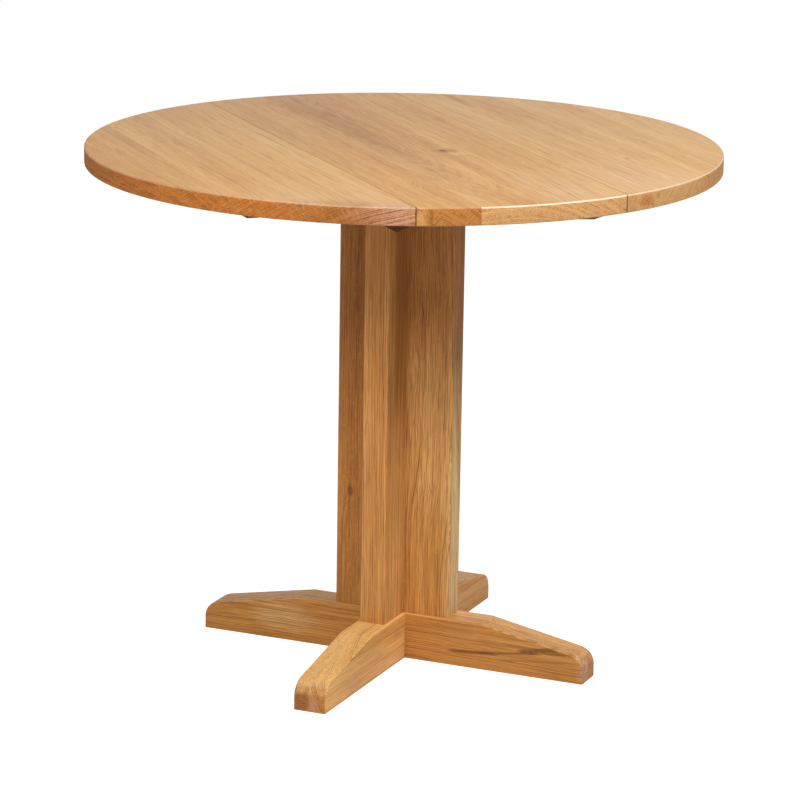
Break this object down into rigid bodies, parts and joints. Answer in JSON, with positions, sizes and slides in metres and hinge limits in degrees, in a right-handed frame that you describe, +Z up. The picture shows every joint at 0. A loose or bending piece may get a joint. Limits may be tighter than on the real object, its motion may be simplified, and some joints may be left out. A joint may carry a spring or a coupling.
{
  "type": "round drop-leaf pedestal table",
  "caption": "Round oak pedestal table with two hinged drop leaves, sliding leaf supports, a plus-shaped column and cross-lapped tapered feet.",
  "frame": {"origin": "on the floor, under the middle of the round top", "axes": "+Z up; Y along the boards and the two hinge joints; X across the leaves, +X to the right leaf in the picture, +Y away from its camera"},
  "size_m": [0.9, 0.9, 0.75],
  "materials": {
    "oak_top": "satin lacquer on light honey oak",
    "oak_feet": "satin lacquer on oak",
    "oak_column": "satin lacquer on oak",
    "oak_under": "satin lacquer on oak",
    "beech_peg": "plain turned dowel",
    "hinge_brass": "satin brass",
    "screw_steel": "zinc-plated steel"
  },
  "bodies": {
    "base": {"side_foot_front_ply": "oak_feet", "side_foot_back_ply": "oak_feet", "front_foot_right_ply": "oak_feet", "front_foot_left_ply": "oak_feet", "column_through_board": "oak_column", "column_back_board": "oak_column", "column_front_board": "oak_column", "top_plate": "oak_under", "right_rail": "oak_under", "left_rail": "oak_under", "centre_left_board": "oak_top", "centre_right_board": "oak_top", "right_hinge_fixed_flaps": "hinge_brass", "right_hinge_pins": "hinge_brass", "left_hinge_fixed_flaps": "hinge_brass", "left_hinge_pins": "hinge_brass", "centre_hinge_screws": "hinge_brass", "rail_screws": "screw_steel", "plate_screws": "screw_steel", "foot_bolts": "screw_steel", "foot_washers": "screw_steel", "foot_inserts": "screw_steel", "plate_bolts": "screw_steel", "plate_washers": "screw_steel", "plate_inserts": "screw_steel"},
    "left_leaf": {"left_leaf_outer_board": "oak_top", "left_leaf_inner_board": "oak_top", "left_front_cleat": "oak_under", "left_back_cleat": "oak_under", "left_hinge_leaf_flaps": "hinge_brass", "left_leaf_hinge_screws": "hinge_brass", "left_cleat_screws": "screw_steel"},
    "right_leaf": {"right_leaf_inner_board": "oak_top", "right_leaf_outer_board": "oak_top", "right_front_cleat": "oak_under", "right_back_cleat": "oak_under", "right_hinge_leaf_flaps": "hinge_brass", "right_leaf_hinge_screws": "hinge_brass", "right_cleat_screws": "screw_steel"},
    "left_front_support": {"left_front_loper": "oak_under", "left_front_stop_peg": "beech_peg"},
    "left_back_support": {"left_back_loper": "oak_under", "left_back_stop_peg": "beech_peg"},
    "right_front_support": {"right_front_loper": "oak_under", "right_front_stop_peg": "beech_peg"},
    "right_back_support": {"right_back_loper": "oak_under", "right_back_stop_peg": "beech_peg"}
  },
  "joints": [
    {"name": "left_leaf_hinge", "type": "hinge", "parent": "base", "child": "left_leaf", "pos_m": [-0.15, 0, 0.7205], "axis": [0, -1, 0], "range_deg": [0, 90]},
    {"name": "right_leaf_hinge", "type": "hinge", "parent": "base", "child": "right_leaf", "pos_m": [0.15, 0, 0.7205], "axis": [0, 1, 0], "range_deg": [0, 90]},
    {"name": "left_front_support_slide", "type": "slide", "parent": "base", "child": "left_front_support", "axis": [1, 0, 0], "range_m": [-0.189, 0]},
    {"name": "left_back_support_slide", "type": "slide", "parent": "base", "child": "left_back_support", "axis": [1, 0, 0], "range_m": [-0.189, 0]},
    {"name": "right_front_support_slide", "type": "slide", "parent": "base", "child": "right_front_support", "axis": [-1, 0, 0], "range_m": [-0.189, 0]},
    {"name": "right_back_support_slide", "type": "slide", "parent": "base", "child": "right_back_support", "axis": [-1, 0, 0], "range_m": [-0.189, 0]}
  ]
}
